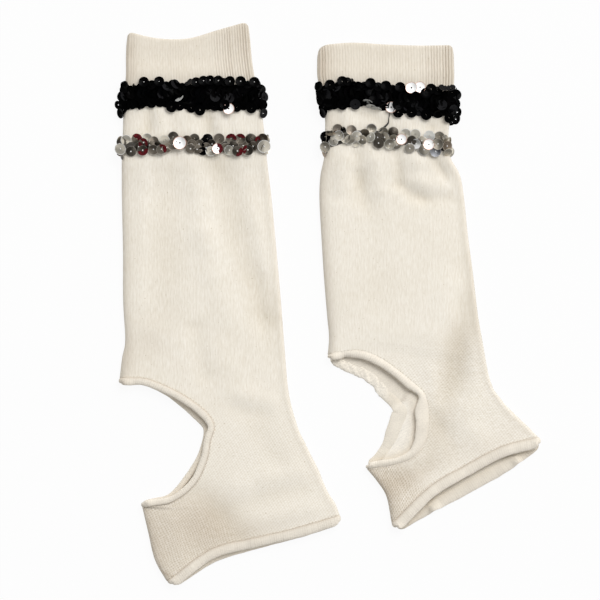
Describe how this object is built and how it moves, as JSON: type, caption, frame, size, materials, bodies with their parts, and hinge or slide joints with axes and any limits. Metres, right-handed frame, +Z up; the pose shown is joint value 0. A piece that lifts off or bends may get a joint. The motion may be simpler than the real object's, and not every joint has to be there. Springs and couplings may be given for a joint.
{
  "type": "pair of stirrup socks",
  "caption": "Long knitted stirrup socks laid flat side by side, ribbed at the cuff, open at heel and toe with rolled hems, each ringed by a black and a silver sequin trim.",
  "frame": {"origin": "on the surface the socks lie on, under the middle of the pair's box", "axes": "+X from the left sock to the right sock, +Y up the legs to the cuffs, +Z up from the surface through the flat cloth"},
  "size_m": [0.2392, 0.315, 0.0091],
  "materials": {
    "cotton": "matte cream cotton knit",
    "hem": "matte cream cotton knit, rolled",
    "black_sequins": "glossy cupped sequins",
    "silver_sequins": "mirror-bright cupped sequins"
  },
  "bodies": {
    "root": {"left_body": "cotton", "left_heel_hem": "hem", "left_toe_hem": "hem", "left_black_trim": "black_sequins", "left_silver_trim": "silver_sequins", "right_body": "cotton", "right_heel_hem": "hem", "right_toe_hem": "hem", "right_black_trim": "black_sequins", "right_silver_trim": "silver_sequins"}
  },
  "joints": []
}
